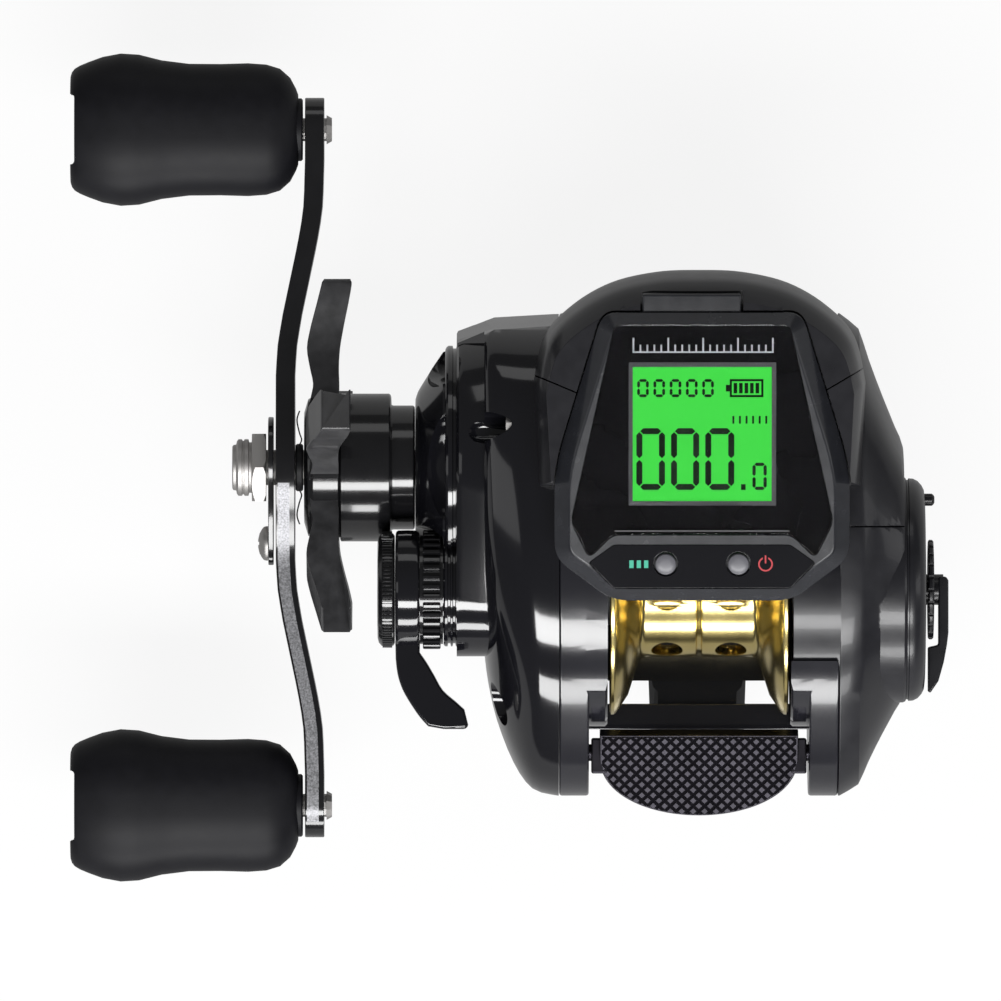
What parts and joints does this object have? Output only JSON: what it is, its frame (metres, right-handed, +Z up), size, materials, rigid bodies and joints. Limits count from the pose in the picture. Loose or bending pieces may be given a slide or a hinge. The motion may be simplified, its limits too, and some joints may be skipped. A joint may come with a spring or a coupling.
{
  "type": "digital baitcasting reel",
  "caption": "Low-profile baitcasting reel with a tilted line counter display, star drag, double handle, drilled gold spool and thumb bar.",
  "frame": {"origin": "middle of the foot's flat underside, straight below the middle of the spool", "axes": "+X across the reel away from the handle, along the spool's axis; +Y up the rod, the way the line leaves; +Z up, away from the rod"},
  "size_m": [0.1144, 0.1081, 0.0586],
  "materials": {
    "black_gloss": "high gloss",
    "black_satin": "satin",
    "black_plain": "matte",
    "black_metal": "satin black coat",
    "grip_black": "soft matte",
    "bezel_grey": "satin",
    "dark_glass": "polished, dark",
    "screen_green": "lit screen",
    "board_green": "lacquered",
    "key_grey": "satin",
    "thumb_grey": "satin, knurled",
    "pale_plastic": "matte",
    "gold": "gold anodised, polished",
    "brass": "machined",
    "steel": "machined",
    "magnet": "plated",
    "cell_metal": "satin foil",
    "carbon": "dry felt"
  },
  "bodies": {
    "frame": {"main_frame": "black_gloss", "hall_sensor": "black_plain", "reel_foot": "black_metal", "foot_screw_front": "steel", "foot_screw_rear": "steel", "guide_rod": "steel", "gear_side_cover": "black_gloss", "gear_cover_screw_front": "steel", "gear_cover_screw_rear": "steel", "palm_front_cover": "black_satin", "palm_side_cover": "black_satin", "brake_stop_pin": "black_satin", "brake_magnet_ring": "magnet", "drive_shaft_bearing": "steel", "pinion_bearing": "steel", "tension_bearing": "steel", "palm_bearing": "steel", "one_way_clutch": "steel", "worm_bush": "pale_plastic", "battery": "cell_metal", "display_housing": "bezel_grey", "display_lens": "dark_glass", "button_panel": "black_gloss", "lcd_panel": "screen_green", "circuit_board": "board_green", "display_hood": "black_satin"},
    "crank": {"drive_shaft": "steel", "level_wind_gear": "pale_plastic", "main_gear": "brass", "drag_washer": "carbon", "pressure_plate": "steel", "one_way_sleeve": "steel", "handle_spacer": "steel", "handle_arm": "black_metal", "handle_nut": "steel", "nut_retainer": "black_metal", "retainer_screw": "steel", "grip_spindle_front": "steel", "grip_spindle_rear": "steel"},
    "star": {"star_drag": "black_metal"},
    "front_grip": {"grip_front": "grip_black", "grip_cap_front": "black_plain"},
    "rear_grip": {"grip_rear": "grip_black", "grip_cap_rear": "black_plain"},
    "spool_group": {"spool": "gold", "spool_shaft": "steel", "counter_magnet": "magnet"},
    "yoke": {"clutch_yoke": "steel"},
    "pinion_gear": {"pinion": "brass"},
    "worm": {"worm_shaft": "steel", "worm_cog": "pale_plastic"},
    "guide": {"line_guide": "steel"},
    "thumb": {"thumb_bar": "thumb_grey"},
    "set_key": {"set_button": "key_grey"},
    "power_key": {"power_button": "key_grey"},
    "knob": {"tension_knob": "black_metal"},
    "lever": {"tension_lever": "black_gloss", "click_ring": "black_metal"},
    "brake": {"brake_lever": "black_satin"}
  },
  "joints": [
    {"name": "handle_crank", "type": "hinge", "parent": "frame", "child": "crank", "pos_m": [0, 0.0159, 0.0177], "axis": [1, 0, 0], "continuous": true},
    {"name": "star_drag_turn", "type": "hinge", "parent": "crank", "child": "star", "pos_m": [0, 0.0159, 0.0177], "axis": [1, 0, 0], "range_deg": [-180, 180]},
    {"name": "front_grip_spin", "type": "hinge", "parent": "crank", "child": "front_grip", "pos_m": [0, 0.06, 0.0177], "axis": [1, 0, 0], "continuous": true},
    {"name": "rear_grip_spin", "type": "hinge", "parent": "crank", "child": "rear_grip", "pos_m": [0, -0.0282, 0.0177], "axis": [1, 0, 0], "continuous": true},
    {"name": "spool_spin", "type": "hinge", "parent": "frame", "child": "spool_group", "pos_m": [0, 0, 0.025], "axis": [1, 0, 0], "continuous": true},
    {"name": "yoke_shift", "type": "slide", "parent": "frame", "child": "yoke", "axis": [-1, 0, 0], "range_m": [0, 0.0012]},
    {"name": "pinion_spin", "type": "hinge", "parent": "yoke", "child": "pinion_gear", "pos_m": [0, 0, 0.025], "axis": [1, 0, 0], "continuous": true},
    {"name": "worm_spin", "type": "hinge", "parent": "frame", "child": "worm", "pos_m": [0, 0.027, 0.0162], "axis": [1, 0, 0], "continuous": true},
    {"name": "guide_travel", "type": "slide", "parent": "frame", "child": "guide", "axis": [1, 0, 0], "range_m": [-0.007, 0.007]},
    {"name": "thumb_press", "type": "slide", "parent": "frame", "child": "thumb", "axis": [0, 0, -1], "range_m": [0, 0.004]},
    {"name": "set_press", "type": "slide", "parent": "frame", "child": "set_key", "axis": [0, 0.1392, -0.9903], "range_m": [0, 0.0005], "stiffness_N_per_m": 200},
    {"name": "power_press", "type": "slide", "parent": "frame", "child": "power_key", "axis": [0, 0.1392, -0.9903], "range_m": [0, 0.0005], "stiffness_N_per_m": 200},
    {"name": "tension_turn", "type": "hinge", "parent": "frame", "child": "knob", "pos_m": [0, 0, 0.025], "axis": [1, 0, 0], "range_deg": [-180, 180]},
    {"name": "lever_turn", "type": "hinge", "parent": "frame", "child": "lever", "pos_m": [0, 0, 0.025], "axis": [1, 0, 0], "range_deg": [-35, 60]},
    {"name": "brake_turn", "type": "hinge", "parent": "frame", "child": "brake", "pos_m": [0, 0, 0.025], "axis": [-1, 0, 0], "range_deg": [0, 150]}
  ],
  "couplings": [
    {"joint": "spool_spin", "follows": "handle_crank", "ratio": -6.3},
    {"joint": "pinion_spin", "follows": "handle_crank", "ratio": -6.3},
    {"joint": "worm_spin", "follows": "handle_crank", "ratio": -1.3333},
    {"joint": "yoke_shift", "follows": "thumb_press", "ratio": 0.3}
  ]
}
